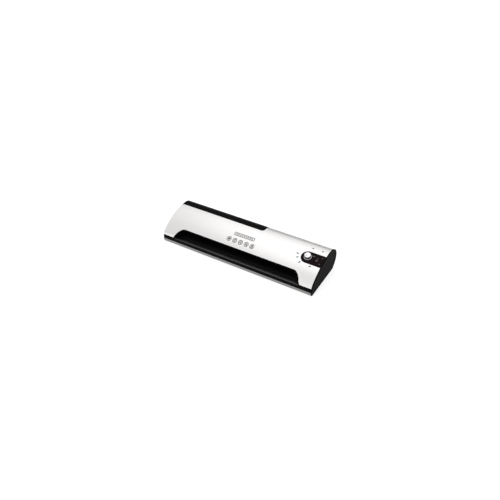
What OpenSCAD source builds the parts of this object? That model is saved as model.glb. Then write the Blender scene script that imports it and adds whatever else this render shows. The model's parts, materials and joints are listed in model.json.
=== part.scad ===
// Desktop pouch laminator. A curved housing holds a heated roller pair, an exit roller
// pair, the gear drive between them and a rotary selector with its boards.
// X runs along the length. Inside place(), y is measured back from the front edge and
// z up from the underside of the base; place() then stands the machine on its feet with
// the origin on the ground under its middle.

/* [Body] */
// Length over the end caps
body_l = 440; // [400:5:530]
// Depth from the front edge to the rear bulge
body_d = 137; // [134:1:165]
// Height from the underside of the base to the crest
body_h = 65; // [64:1:80]
// Height of the rear bulge's widest point
bulge_z = 31; // [30:0.5:32]
// Thickness of the moulded walls
wall = 2.2; // [1.8:0.1:2.6]
// Height of the rubber feet
foot_h = 2; // [1.5:0.5:5]

/* [Front] */
// Height of the base's visible band
band_h = 7; // [6:0.5:9]
// Height of the silver cover's lower front edge
chin_h = 19; // [17:0.5:22]
// How far that edge leans back from the front edge
chin_lean = 1.3; // [0.5:0.1:2]
// Height at which the front arc starts
arc_z = 25; // [23:0.5:28]
// Depth at which the front arc starts
arc_y = 3; // [2:0.5:5]
// Height of the feed recess's upper edge
recess_z = 40.5; // [38:0.5:42]
// Distance from the left end to the recess's lower corner
recess_left = 32; // [30:1:36]
// Distance from the right end to the recess's lower corner
recess_right = 35; // [33:1:40]
// Corner radius of the recess
recess_r = 24; // [12:1:28]
// Depth of the feed slot's wall behind the front edge
slot_y = 38; // [34:1:40]
// Clear height of the feed and exit slots
slot_h = 5; // [4:0.5:7]

/* [Controls] */
// Distance from the right end to the selector's axis
knob_from_right = 45; // [42:1:50]
// Distance from the front edge to the selector's axis
knob_y = 61.5; // [58:0.5:66]
// Diameter of the selector's grip
knob_d = 17; // [14:0.5:20]
// Height of the selector above its panel
knob_h = 9; // [7:0.5:11]
// Width of the dark control panel
panel_w = 34; // [30:1:38]
// Diameter of the indicator lenses
lens_d = 4; // [3:0.5:5]

/* [Rollers] */
// Width of the bay that holds the motor and gears
drive_bay = 46; // [44:1:56]
// Width of the bay that holds the boards
control_bay = 56; // [54:1:64]
// Height of the pouch path above the base's underside
path_z = 30; // [29.5:0.5:32]
// Distance of the heated rollers behind the front edge
hot_y = 60; // [58:1:62]
// Diameter of the roller shafts
shaft_d = 8; // [7:0.5:9]
// Teeth on each roller gear, which also set the roller's diameter
roller_teeth = 20; // [19:1:21]
// Teeth on the idler between the roller pairs
idler_teeth = 24; // [24:1:26]
// Teeth on the motor's pinion
pinion_teeth = 12; // [11:1:13]
// Module of the gears
gear_m = 1; // [0.95:0.05:1.05]
// Face width of the gears
gear_w = 7; // [5:0.5:8]

/* [Motor] */
// Diameter of the motor
motor_d = 48; // [42:1:49]
// Length of the motor with its gearbox
motor_l = 17; // [14:1:19]

/* [Hidden] */
$fn = 48;

half_l = body_l / 2;
rear_r = body_h - bulge_z;
crest_y = body_d - rear_r;
front_r = ((crest_y - arc_y) ^ 2 + (body_h - arc_z) ^ 2) / (2 * (body_h - arc_z));
front_cz = body_h - front_r;
seam = 0.3;              // gap at the seams between mouldings
run = 0.05;              // radial clearance of a turning fit
cap_t = 4;               // thickness of the right end cap
left_in = 1.5;           // how far the left cap sits inside the cover's end
cap_grip = 5;            // how far the right cap's collar reaches into the cover
body_x1 = half_l - cap_t;

plate_t = 1.5;
plate_l = -half_l + drive_bay;       // outer face of the left side plate
plate_r = half_l - control_bay;      // outer face of the right side plate
bearing_l = 8;
sleeve_gap = 1.5;
sleeve_x0 = plate_l + plate_t + bearing_l + sleeve_gap;
sleeve_x1 = plate_r - plate_t - bearing_l - sleeve_gap;

roller_r = gear_m * roller_teeth / 2;
idler_r = gear_m * idler_teeth / 2;
pinion_r = gear_m * pinion_teeth / 2;
nip = 0.3;                           // gap between the sleeves of a pair
exit_y = hot_y + 2 * (roller_r + idler_r);
idler_y = hot_y + roller_r + idler_r;
low_z = path_z - roller_r;
high_z = path_z + roller_r;
pinion_z = low_z + idler_r + pinion_r;
gear_x0 = plate_l - 3 - gear_w;      // outboard face of the gears
bush_r = shaft_d / 2 + 2;

knob_x = half_l - knob_from_right;
slot_x0 = sleeve_x0 - 4;
slot_x1 = sleeve_x1 + 4;

// ---------- shared geometry ----------

module place() translate([0, -body_d / 2, foot_h]) children();

// Extrudes a (y, z) outline from x0 to x1
module along_x(x0, x1)
    translate([x0, 0, 0]) rotate([90, 0, 90]) linear_extrude(x1 - x0) children();

// Extrudes an (x, z) outline from y0 to y1
module along_y(y0, y1)
    translate([0, y1, 0]) rotate([90, 0, 0]) linear_extrude(y1 - y0) children();

// Extrudes an (x, y) outline from z0 to z1
module along_z(z0, z1)
    translate([0, 0, z0]) linear_extrude(z1 - z0) children();

module box(low, high) translate(low) cube(high - low);

module rod(x0, x1, y, z, r)
    translate([x0, y, z]) rotate([0, 90, 0]) cylinder(r = r, h = x1 - x0);

// Height of the outer skin, or of a layer inset below it, at a depth y
function skin_z(y, inset = 0) =
    y < crest_y ? front_cz + sqrt((front_r - inset) ^ 2 - (crest_y - y) ^ 2)
                : bulge_z + sqrt((rear_r - inset) ^ 2 - (y - crest_y) ^ 2);

// Forward lean of the skin's normal at a depth y
function lean(y) = asin((crest_y - y) / front_r);

// Front face of the chin and base at a height z
function chin_y(z) = chin_lean * z / chin_h;

// Stands children on the skin at (x, y), their z along its normal
module on_skin(x, y)
    translate([x, y, skin_z(y)]) rotate([lean(y), 0, 0]) children();

// The housing's side outline, or a layer inset below it: the front half is the big circle
// behind the chin, the rear half is the bulge's circle
module section(inset = 0) {
    steep = (arc_y - chin_lean) / (arc_z - chin_h);
    intersection() {
        translate([crest_y, front_cz]) circle(front_r - inset);
        polygon([
            [inset, inset], [chin_lean + inset, chin_h],
            [chin_lean + inset + steep * (body_h - chin_h), body_h],
            [chin_lean + inset, body_h + 5], [crest_y, body_h + 5], [crest_y, inset]
        ]);
    }
    intersection() {
        translate([crest_y, bulge_z]) circle(rear_r - inset);
        translate([crest_y, inset]) square([rear_r + 1, body_h + 5 - inset]);
    }
}

// Points of one rounded corner b between a and c
function corner(a, b, c, r, n) =
    let (
        u = (a - b) / norm(a - b),
        v = (c - b) / norm(c - b),
        half = acos(u * v) / 2,
        from = b + u * r / tan(half),
        to = b + v * r / tan(half),
        centre = b + (u + v) / norm(u + v) * r / sin(half),
        a0 = atan2(from.y - centre.y, from.x - centre.x),
        a1 = atan2(to.y - centre.y, to.x - centre.x),
        turn = (a1 - a0 + 540) % 360 - 180
    )
    r == 0 ? [b] : [for (i = [0:n]) let (t = a0 + turn * i / n) centre + r * [cos(t), sin(t)]];

// A polygon whose corners are rounded to the radii in rad
function rounded(pts, rad, n = 8) =
    let (k = len(pts))
    [for (i = [0:k - 1]) each corner(pts[(i + k - 1) % k], pts[i], pts[(i + 1) % k], rad[i], n)];

// Front view of the feed recess, shrunk by inset
recess_slant = 0.57;     // sideways lean of its sides per millimetre of height
function recess_outline(inset = 0) =
    let (
        left = -half_l + recess_left + inset,
        right = half_l - recess_right - inset,
        top = recess_z - inset,
        shift = recess_slant * (recess_z - chin_h) - recess_slant * inset,
        r = recess_r - inset
    )
    rounded([[left, chin_h - 6], [left, chin_h], [left + shift, top],
             [right - shift, top], [right, chin_h], [right, chin_h - 6]],
            [0, 0, r, r, 0, 0], 12);

// Plan view of the dark control panel, shrunk by inset, open to the right
module panel_outline(inset = 0) {
    translate([knob_x, knob_y]) circle(panel_w / 2 - inset);
    translate([knob_x, knob_y - panel_w / 2 + inset])
        square([body_x1 - knob_x - inset, panel_w - 2 * inset]);
}

// The region of the black rear panel: a strip that climbs over the crest on the left,
// and the rear wall below rear_top along the whole length
strip_y = 92;            // front edge of the strip
strip_right = 185;       // distance from the right end to the strip's end
strip_r = 8;
rear_top = path_z + 12;
module rear_region(gap = 0) {
    edge = half_l - strip_right - gap;
    along_z(band_h, body_h + 5)
        polygon(rounded([[-half_l - 1, strip_y + gap], [edge, strip_y + gap],
                         [edge + 2, body_d + 5], [-half_l - 1, body_d + 5]],
                        [0, strip_r - gap, 0, 0]));
    box([-half_l - 1, crest_y, 0], [half_l + 1, body_d + 5, rear_top - gap]);
}

// Cover and panel bosses: [x, y] of each screw from below
cover_points = [
    [-half_l + 16, 24], [half_l - 20, 24], [half_l - 13.5, knob_y + panel_w / 2 + 5.5], [-half_l + 16, 48]
];
rear_points = [[-half_l + 12, body_d - 24], [half_l - 14, body_d - 24]];
boss_r = 4;
pilot_r = 1.3;
screw_r = 1.5;
head_r = 2.8;
head_h = 1.6;
sink = 1;                // depth of the counterbores in the base

module boss(p, inset) {
    difference() {
        intersection() {
            translate([p.x, p.y, wall + seam]) cylinder(r = boss_r, h = body_h);
            along_x(-half_l, half_l) section(inset);
        }
        translate([p.x, p.y, 0]) cylinder(r = pilot_r, h = wall + 14);
    }
}

// ---------- housing ----------

module cover_shell() difference() {
    along_x(-half_l, body_x1) difference() {
        section();
        section(wall);
        translate([-1, -1]) square([body_d + 2, chin_h + 1]);
    }
    along_y(-1, slot_y + 10) polygon(recess_outline());
    along_z(path_z, body_h + 5) panel_outline();
    rear_region();
    for (x = [knob_x, knob_x + light_gap])
        on_skin(x, light_y) translate([0, 0, -wall - 3]) cylinder(d = lens_d, h = wall + 6);
}

module top_cover() color("silver") place() {
    cover_shell();
    for (p = cover_points) boss(p, wall / 2);
}

vent_w = 3;
module base() color("darkgray") place() difference() {
    union() {
        along_x(-half_l, body_x1) difference() {
            section();
            section(wall);
            translate([-1, band_h]) square([body_d + 2, body_h]);
        }
        for (x = [plate_l + 22, 0, plate_r - 22])
            box([x - 0.8, wall - 0.1, wall - 0.1], [x + 0.8, slot_y + 4, band_h - 1]);
        for (y = [slot_y + 4, exit_y + 15])
            box([plate_l + 4, y - 0.8, wall - 0.1], [plate_r - 4, y + 0.8, band_h - 3]);
    }
    for (p = concat(cover_points, rear_points, chassis_points)) translate([p.x, p.y, -1]) {
        cylinder(r = screw_r + 0.2, h = wall + 2);
        cylinder(r = head_r + 0.3, h = sink + 1);
    }
    for (p = foot_points) translate([p.x, p.y, -1]) cylinder(r = foot_r - 2, h = 2);
    for (x = [plate_l + 40 : 12 : plate_r - 40], y = [idler_y - 30, idler_y + 6])
        box([x, y, -1], [x + vent_w, y + 22, wall + 1]);
}

lip_z = chin_h - 2;      // top of the table's front lip inside the recess
module feed_table() color([0.08, 0.08, 0.08]) place() {
    low = band_h + seam;
    high = chin_h - seam;
    difference() {
        along_x(-half_l, body_x1) polygon([
            [chin_y(low), low], [chin_y(high), high],
            [chin_y(high) + wall, high], [chin_y(low) + wall, low]
        ]);
        along_y(-1, wall + 5) polygon([
            [-half_l + recess_left - 2, lip_z - 1], [half_l - recess_right + 2, lip_z - 1],
            [half_l - recess_right + 2, chin_h], [-half_l + recess_left - 2, chin_h]
        ]);
    }
    intersection() {
        along_x(-half_l, half_l) polygon(rounded([
            [chin_y(lip_z) - 0.3, lip_z - 3], [chin_y(lip_z) - 0.3, lip_z],
            [9, lip_z + 0.2], [slot_y - seam, path_z - slot_h / 2],
            [slot_y - seam, path_z - slot_h / 2 - wall], [9, lip_z - wall],
            [wall + 1, lip_z - 3]
        ], [0, 1.4, 20, 0, 0, 18, 0], 10));
        along_y(-1, slot_y) polygon(recess_outline(rim + seam));
    }
}

rim = 2.6;               // width of the visor's visible rim
module feed_visor() color([0.05, 0.05, 0.05]) place() difference() {
    union() {
        difference() {
            intersection() {
                along_x(-half_l, half_l) section(0.8);
                along_y(-1, slot_y + wall) polygon(recess_outline(seam));
            }
            along_y(-1, slot_y) polygon(recess_outline(rim));
        }
        intersection() {
            along_x(-half_l, half_l) polygon([
                [slot_y - 12, recess_z - rim + 0.2], [slot_y + 0.2, recess_z - rim + 0.2],
                [slot_y + 0.2, path_z + slot_h / 2], [slot_y - 1.5, path_z + slot_h / 2]
            ]);
            along_y(-1, slot_y + 1) polygon(recess_outline(rim - 0.2));
        }
    }
    box([-half_l, -1, 0], [half_l, slot_y + wall + 1, chin_h + seam]);
    box([slot_x0, -1, path_z - slot_h / 2], [slot_x1, slot_y + wall + 1, path_z + slot_h / 2]);
}

exit_z0 = path_z - slot_h / 2;
exit_z1 = path_z + slot_h / 2;
rear_boss_h = 16;
module rear_panel() color([0.07, 0.07, 0.07]) place() {
    difference() {
        intersection() {
            along_x(-half_l, body_x1) difference() {
                section(0.3);
                section(wall + 0.3);
                translate([-1, -1]) square([body_d + 2, band_h + seam + 1]);
            }
            rear_region(seam);
        }
        box([slot_x0, crest_y, exit_z0], [slot_x1, body_d + 1, exit_z1]);
        for (x = [-half_l + 40 : 9 : half_l - strip_right - 20])
            box([x, crest_y + 4, rear_top + 4], [x + vent_w, body_d + 1, rear_top + 16]);
        box([inlet_x - inlet_w / 2, crest_y, inlet_z - inlet_h / 2],
            [inlet_x + inlet_w / 2, body_d + 1, inlet_z + inlet_h / 2]);
    }
    for (p = rear_points) difference() {
        union() {
            translate([p.x, p.y, wall + seam]) cylinder(r = boss_r, h = rear_boss_h);
            intersection() {
                box([p.x - 1, p.y, band_h + 1], [p.x + 1, body_d, wall + seam + rear_boss_h]);
                along_x(-half_l, half_l) section(0.3 + wall / 2);
            }
        }
        translate([p.x, p.y, 0]) cylinder(r = pilot_r, h = wall + 14);
    }
    // chute floor and roof that lead the pouch out
    for (z = [exit_z0 - 1.6, exit_z1]) difference() {
        box([slot_x0 - 1, exit_y + roller_r + 3, z], [slot_x1 + 1, body_d, z + 1.6]);
        along_x(-half_l, half_l) difference() {
            square([2 * body_d, body_h]);
            section(0.4);
        }
    }
}

module end_cap_right() color([0.13, 0.12, 0.12]) place() {
    difference() {
        along_x(body_x1, half_l) section();
        along_x(half_l - 0.8, half_l + 1) section(2);
    }
    along_x(body_x1 - cap_grip, body_x1 + 0.1) difference() {
        section(wall + 2.3 + seam);
        section(wall + 4);
    }
}

module end_cap_left() color([0.10, 0.10, 0.10]) place() {
    x0 = -half_l + left_in;
    along_x(x0, x0 + 2.2) section(wall + 0.6);
    along_x(x0 + 2.1, x0 + 6) difference() {
        section(wall + 2.5);
        section(wall + 4.2);
    }
}

panel_drop = 1;
module control_panel() color([0.10, 0.03, 0.05]) place() difference() {
    intersection() {
        along_x(-half_l, body_x1) difference() {
            section(panel_drop);
            section(panel_drop + 2);
        }
        along_z(path_z, body_h + 5) panel_outline(0.2);
    }
    on_skin(knob_x, knob_y) translate([0, 0, -8]) cylinder(r = 4, h = 12);
}

foot_r = 7;
foot_points = [
    [-half_l + 30, 16], [half_l - 34, 16], [-half_l + 30, 106], [half_l - 34, 106]
];
module feet() color([0.15, 0.15, 0.15]) place()
    for (p = foot_points) translate([p.x, p.y, 0]) {
        translate([0, 0, -foot_h]) cylinder(r = foot_r, h = foot_h);
        translate([0, 0, -0.1]) cylinder(r = foot_r - 2, h = 1.1);
    }

module screw(r, length, head, height) {
    difference() {
        cylinder(r = head, h = height);
        translate([-head, -0.35, -1]) cube([2 * head, 0.7, 1.7]);
        rotate(90) translate([-head, -0.35, -1]) cube([2 * head, 0.7, 1.7]);
    }
    translate([0, 0, height - 0.1]) cylinder(r = r, h = length);
}

module screws_at(points, r, length)
    for (p = points) translate([p.x, p.y, sink - head_h]) screw(r, length, head_r, head_h);

module cover_screws() color("gray") place()
    screws_at(concat(cover_points, rear_points), pilot_r, 11);

// ---------- chassis ----------

tab_y = [hot_y - 8, exit_y - 8];
chassis_points = [
    for (x = [plate_l + plate_t + 6, plate_r - plate_t - 6], y = tab_y) [x, y + 4]
];
module chassis_screws() color("gray") place() screws_at(chassis_points, screw_r, 4);

module plate_outline() difference() {
    intersection() {
        section(wall + 1.2);
        translate([slot_y + wall + 3, wall]) square([body_d, body_h]);
    }
    for (y = [hot_y, exit_y]) {
        translate([y, low_z]) circle(bush_r);
        for (dz = [-1.5, 3]) translate([y, high_z + dz]) circle(bush_r);
        translate([y - bush_r, high_z - 1.5]) square([2 * bush_r, 4.5]);
    }
    translate([idler_y, low_z]) circle(idler_pin_r);
    for (p = tie_points) translate(p) circle(tie_r);
    for (p = post_points) translate(p) circle(1.5);
}

spring_h = 6;
block = 14;
tab_z = high_z + block / 2 + spring_h;
// inward is +1 on the left plate and -1 on the right one
module side_plate(face, inward) {
    x0 = inward > 0 ? face : face - plate_t;
    xi = inward > 0 ? face + plate_t : face - plate_t;
    along_x(x0, x0 + plate_t) plate_outline();
    for (y = tab_y) {
        bx = sort2(xi - inward * 0.1, xi + inward * 12);
        difference() {
            box([bx[0], y - 3, wall], [bx[1], y + 9, wall + plate_t]);
            translate([xi + inward * 6, y + 4, 0]) cylinder(r = screw_r, h = 10);
        }
    }
    for (y = [hot_y, exit_y]) {
        bx = sort2(xi - inward * 0.1, xi + inward * bearing_l);
        box([bx[0], y - 4, tab_z], [bx[1], y + 4, tab_z + 1]);
    }
}
function sort2(a, b) = a < b ? [a, b] : [b, a];

module side_plate_left() color("lightsteelblue") place() side_plate(plate_l, 1);
module side_plate_right() color("lightsteelblue") place() side_plate(plate_r, -1);

tie_r = 2.5;
tie_points = [[idler_y, 9], [exit_y + 14, 40], [slot_y + 9, 17]];
module tie_rods() color("gainsboro") place()
    for (p = tie_points) rod(plate_l - 2, plate_r + 2, p.x, p.y, tie_r);

module lower_bushes() color("goldenrod") place()
    for (side = [[plate_l, 1], [plate_r, -1]], y = [hot_y, exit_y]) {
        inner = side[0] + side[1] * plate_t;
        barrel = sort2(side[0] - side[1] * 2, inner + side[1] * 0.1);
        flange = sort2(inner, inner + side[1] * 1.5);
        difference() {
            union() {
                rod(barrel[0], barrel[1], y, low_z, bush_r);
                rod(flange[0], flange[1], y, low_z, bush_r + 1.6);
            }
            rod(flange[0] - 9, flange[1] + 9, y, low_z, shaft_d / 2 + run);
        }
    }

module upper_bearings() color("wheat") place()
    for (side = [[plate_l, 1], [plate_r, -1]], y = [hot_y, exit_y]) {
        inner = side[0] + side[1] * plate_t;
        barrel = sort2(side[0] - side[1] * 2, inner + side[1] * 0.1);
        body = sort2(inner, inner + side[1] * bearing_l);
        difference() {
            union() {
                rod(barrel[0], barrel[1], y, high_z, bush_r);
                box([body[0], y - block / 2, high_z - block / 2],
                    [body[1], y + block / 2, high_z + block / 2]);
            }
            rod(body[0] - 12, body[1] + 12, y, high_z, shaft_d / 2 + run);
        }
    }

// A round wire wound into a coil: one polyhedron swept round the z axis
module coil(r, wire, height, turns, per_turn = 10, sides = 6) {
    steps = turns * per_turn;
    rings = [for (i = [0:steps]) let (a = 360 * i / per_turn, z = height * i / steps)
        [for (k = [0:sides - 1]) let (b = 360 * k / sides, q = r + wire * cos(b))
            [q * cos(a), q * sin(a), z + wire * sin(b)]]];
    points = [for (ring = rings) each ring];
    faces = concat(
        [[for (k = [0:sides - 1]) k]],
        [for (i = [0:steps - 1], k = [0:sides - 1]) let (n = (k + 1) % sides)
            [i * sides + n, i * sides + k, (i + 1) * sides + k, (i + 1) * sides + n]],
        [[for (k = [sides - 1:-1:0]) steps * sides + k]]
    );
    polyhedron(points, faces);
}

module pressure_springs() color("silver") place()
    for (side = [[plate_l + plate_t, 1], [plate_r - plate_t, -1]], y = [hot_y, exit_y])
        translate([side[0] + side[1] * bearing_l / 2, y, high_z + block / 2 + 0.45])
            coil(2.8, 0.4, spring_h - 0.9, 3.5);

module guide_plate(z0, bend) color("lightgray") place() {
    y0 = hot_y + roller_r + 3;
    y1 = exit_y - roller_r - 3;
    z = sort2(z0 + 0.5, z0 + 0.5 + bend * 6);
    box([plate_l + plate_t, y0, z0], [plate_r - plate_t, y1, z0 + 1]);
    box([sleeve_x0, y0, z[0]], [sleeve_x1, y0 + 1, z[1]]);
    box([sleeve_x0, y1 - 1, z[0]], [sleeve_x1, y1, z[1]]);
}
module guide_plate_lower() guide_plate(path_z - 3.5, -1);
module guide_plate_upper() guide_plate(path_z + 2.5, 1);

// ---------- rollers and gears ----------

flank = 20;              // pressure angle
slack = 0.14;            // tooth thickness taken off for backlash
function involute(rb, r) = let (a = acos(min(1, rb / r))) tan(a) * 180 / PI - a;
// Points of a gear with n teeth; a tooth is centred on the direction phase
function gear_points(n, phase) =
    let (
        rp = gear_m * n / 2,
        rb = rp * cos(flank),
        ra = rp + gear_m * 0.95,
        rf = rp - gear_m * 1.25,
        half = 90 / n - slack / rp * 90 / PI,
        at_rp = involute(rb, rp),
        start = max(rb, rf),
        radii = [for (i = [0:3]) start + (ra - start) * i / 3]
    )
    [for (t = [0:n - 1]) let (c = phase + 360 * t / n) each concat(
        [let (a = c - half - at_rp + involute(rb, start)) rf * [cos(a), sin(a)]],
        [for (r = radii) let (a = c - half - at_rp + involute(rb, r)) r * [cos(a), sin(a)]],
        [for (i = [3:-1:0]) let (r = radii[i], a = c + half + at_rp - involute(rb, r))
            r * [cos(a), sin(a)]],
        [let (a = c + half + at_rp - involute(rb, start)) rf * [cos(a), sin(a)]]
    )];

// Phase of a gear of m teeth that meshes, in the direction a, with one of n teeth
function meshed(phase, n, m, a) = a + 180 - (0.5 - n * (a - phase) / 360) * 360 / m;

hot_low_phase = 0;
hot_high_phase = meshed(hot_low_phase, roller_teeth, roller_teeth, 90);
idler_phase = meshed(hot_low_phase, roller_teeth, idler_teeth, 0);
exit_low_phase = meshed(idler_phase, idler_teeth, roller_teeth, 0);
exit_high_phase = meshed(exit_low_phase, roller_teeth, roller_teeth, 90);
pinion_phase = meshed(idler_phase, idler_teeth, pinion_teeth, 90);

module gear(y, z, n, phase, bore) difference() {
    translate([0, y, z]) union() {
        along_x(gear_x0, gear_x0 + gear_w) polygon(gear_points(n, phase));
        along_x(gear_x0 - 1.5, gear_x0 + 0.1) circle(bore + 1.6);
    }
    rod(gear_x0 - 5, gear_x0 + gear_w + 5, y, z, bore);
}

module shaft(y, z) {
    rod(gear_x0 - 1.5, plate_r + 2.5, y, z, shaft_d / 2);
}

module sleeve(y, z) difference() {
    rod(sleeve_x0, sleeve_x1, y, z, roller_r - nip / 2);
    rod(sleeve_x0 - 1, sleeve_x1 + 1, y, z, shaft_d / 2);
}

module hot_shaft_lower() color("gainsboro") place() shaft(hot_y, low_z);
module hot_shaft_upper() color("gainsboro") place() shaft(hot_y, high_z);
module exit_shaft_lower() color("gainsboro") place() shaft(exit_y, low_z);
module exit_shaft_upper() color("gainsboro") place() shaft(exit_y, high_z);
module hot_sleeve_lower() color("firebrick") place() sleeve(hot_y, low_z);
module hot_sleeve_upper() color("firebrick") place() sleeve(hot_y, high_z);
module exit_sleeve_lower() color("dimgray") place() sleeve(exit_y, low_z);
module exit_sleeve_upper() color("dimgray") place() sleeve(exit_y, high_z);

module roller_gear(y, z, phase) color("ivory") place()
    gear(y, z, roller_teeth, phase, shaft_d / 2);
module hot_gear_lower() roller_gear(hot_y, low_z, hot_low_phase);
module hot_gear_upper() roller_gear(hot_y, high_z, hot_high_phase);
module exit_gear_lower() roller_gear(exit_y, low_z, exit_low_phase);
module exit_gear_upper() roller_gear(exit_y, high_z, exit_high_phase);

idler_pin_r = 2.5;
module idler_gear() color("ivory") place()
    gear(idler_y, low_z, idler_teeth, idler_phase, idler_pin_r + run);
module idler_pin() color("gainsboro") place() {
    rod(gear_x0 - 3, plate_l + plate_t + 1, idler_y, low_z, idler_pin_r);
    rod(gear_x0 - 3.5, gear_x0 - 2, idler_y, low_z, idler_pin_r + 1.5);
}

// ---------- motor ----------

motor_y = idler_y + 2;
motor_z = 32;
bracket_x = gear_x0 - 6.5;           // outboard face of the motor bracket
gearbox_l = 6;
post_points = [
    [idler_y - 14, high_z + 14], [idler_y + 15, high_z + 15.5],
    [idler_y - 11, low_z - 13], [idler_y + 12, low_z - 13]
];
motor_shaft_r = 2;

module motor_pinion() color("ivory") place()
    gear(idler_y, pinion_z, pinion_teeth, pinion_phase, motor_shaft_r);

module motor_shaft() color("gainsboro") place()
    rod(bracket_x - gearbox_l + 1.5, gear_x0 + gear_w, idler_y, pinion_z, motor_shaft_r);

module motor_gearbox() color("silver") place() difference() {
    rod(bracket_x - gearbox_l, bracket_x, motor_y, motor_z, motor_d / 2);
    rod(bracket_x - gearbox_l + 1.2, bracket_x + 1, idler_y, pinion_z, motor_shaft_r + run);
}

module motor_can() color("goldenrod") place() {
    rod(bracket_x - motor_l, bracket_x - gearbox_l, motor_y, motor_z, motor_d / 2 - 0.8);
    rod(bracket_x - motor_l - 1, bracket_x - motor_l + 0.1, motor_y, motor_z, 5);
}

module motor_bracket() color("lightsteelblue") place() {
    along_x(bracket_x, bracket_x + plate_t) difference() {
        intersection() {
            section(wall + 2);
            translate([idler_y - 20, wall + 1]) square([42, body_h]);
        }
        translate([idler_y, pinion_z]) circle(motor_shaft_r + 2);
        for (p = post_points) translate(p) circle(1.5);
    }
    box([bracket_x + plate_t - 0.1, idler_y - 6, wall + 2], [bracket_x + 6, idler_y + 6, wall + 3.2]);
}

module bracket_posts() color("gainsboro") place()
    for (p = post_points) {
        rod(bracket_x + plate_t, plate_l, p.x, p.y, 2.7);
        rod(bracket_x - 1.2, plate_l + plate_t + 1.2, p.x, p.y, 1.5);
        rod(bracket_x - 1.8, bracket_x, p.x, p.y, 2.5);
        rod(plate_l + plate_t, plate_l + plate_t + 1.8, p.x, p.y, 2.5);
    }

// ---------- heating ----------

shoe_half = 8.5;
shoe_t = 2.2;            // metal left over the roller
shoe_gap = 0.5;
module heater_shoe(z, side) color("lightgray") place() difference() {
    zz = sort2(z + side * 3, z + side * (roller_r + shoe_gap + shoe_t));
    box([sleeve_x0 + 1, hot_y - shoe_half, zz[0]], [sleeve_x1 - 1, hot_y + shoe_half, zz[1]]);
    rod(sleeve_x0, sleeve_x1, hot_y, z, roller_r + shoe_gap);
}
module heater_shoe_lower() heater_shoe(low_z, -1);
module heater_shoe_upper() heater_shoe(high_z, 1);

element_t = 1;
module heating_element(z, side) color("tan") place() {
    zz = sort2(z + side * (roller_r + shoe_gap + shoe_t),
               z + side * (roller_r + shoe_gap + shoe_t + element_t));
    box([sleeve_x0 + 12, hot_y - 3.5, zz[0]], [sleeve_x1 - 12, hot_y + 7, zz[1]]);
}
module heating_element_lower() heating_element(low_z, -1);
module heating_element_upper() heating_element(high_z, 1);

// Bright sheet over the idle span between the roller pairs
module heat_shield() color("whitesmoke") place()
    along_x(plate_l + plate_t, plate_r - plate_t) difference() {
        intersection() {
            section(wall + 2);
            translate([hot_y + 12, high_z + 10]) square([exit_y - hot_y - 22, body_h]);
        }
        section(wall + 2.8);
    }

module thermostat() color("dimgray") place() translate([60, hot_y + shoe_half, high_z + 9.5])
    rotate([-90, 0, 0]) {
        cylinder(r = 3, h = 1.5);
        translate([0, 0, 1.4]) cylinder(r = 3.4, h = 5);
    }

module thermal_fuse() color("white") place()
    rod(-60, -46, hot_y + shoe_half + 2, high_z + 9.5, 2);

// ---------- controls ----------

light_y = 91.5;
light_gap = 26;
bottom_gap = 0.4;        // gap under the selector
board_drop = 14;         // board's top below the skin at the selector
spindle_r = 3;
knob_base = -panel_drop + bottom_gap;
knob_top = -panel_drop + knob_h;

module selector_knob() color("gainsboro") place() on_skin(knob_x, knob_y) difference() {
    union() {
        translate([0, 0, knob_base]) cylinder(d = knob_d + 3, h = 1.6);
        translate([0, 0, knob_base + 1.5]) cylinder(d = knob_d, h = knob_top - knob_base - 1.5);
    }
    translate([0, 0, knob_base - 1]) cylinder(r = spindle_r, h = knob_h - 3);
    translate([0, 0, knob_top - 1]) cylinder(d = knob_d - 2, h = 2);
    for (a = [0 : 20 : 340]) rotate(a)
        translate([knob_d / 2 + 0.55, 0, knob_base + 2.6]) cylinder(r = 0.9, h = knob_h);
}

pointer_turn = 240;      // direction the pointer shows at rest, seen from above
module knob_cap() color("white") place() on_skin(knob_x, knob_y) difference() {
    translate([0, 0, knob_top - 1]) cylinder(d = knob_d - 2, h = 1);
    rotate(pointer_turn) translate([knob_d / 4, -0.5, knob_top - 0.4])
        cube([knob_d / 4 - 1.6, 1, 2]);
}

module switch_spindle() color("silver") place() on_skin(knob_x, knob_y)
    translate([0, 0, -board_drop + 2]) cylinder(r = spindle_r, h = board_drop + knob_base - 3 + knob_h - 3);

module selector_switch() color("dimgray") place() on_skin(knob_x, knob_y) difference() {
    union() {
        translate([-8, -8, -board_drop]) cube([16, 16, 7]);
        translate([0, 0, -board_drop + 6.9])
            cylinder(r = spindle_r + 0.9, h = board_drop - 6.9 - panel_drop - 2 - 0.4);
    }
    translate([0, 0, -board_drop + 1.5]) cylinder(r = spindle_r + run, h = board_drop);
}

board_x = [-6, body_x1 - cap_grip - 1 - knob_x];     // beside the selector's axis
board_y = [-14, 38];
board_t = 1.6;
module around_bosses()
    for (p = cover_points) translate([p.x, p.y, 0]) cylinder(r = boss_r + 1.2, h = body_h);

module control_board() color("darkgreen") place() difference() {
    on_skin(knob_x, knob_y) difference() {
        translate([board_x[0], board_y[0], -board_drop - board_t])
            cube([board_x[1] - board_x[0], board_y[1] - board_y[0], board_t]);
        for (x = [board_x[0] + 3, board_x[1] - 3])
            translate([x, board_y[0] + 3, -board_drop - 3]) cylinder(r = 1.6, h = 5);
    }
    around_bosses();
}

led_r = 2.4;
module indicator_leds() color("white") place() on_skin(knob_x, knob_y) {
    skin_drop = (light_y - knob_y) ^ 2 / (2 * front_r);
    stem = board_drop - skin_drop - wall - lens_collar - 1 - led_r;
    for (x = [0, light_gap]) translate([x, light_y - knob_y + 1, -board_drop]) {
        cylinder(r = led_r + 0.5, h = 1);
        cylinder(r = led_r + 0.1, h = stem);
        intersection() {
            translate([0, 0, stem]) sphere(r = led_r);
            cylinder(r = led_r, h = stem + led_r);
        }
    }
}

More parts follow.
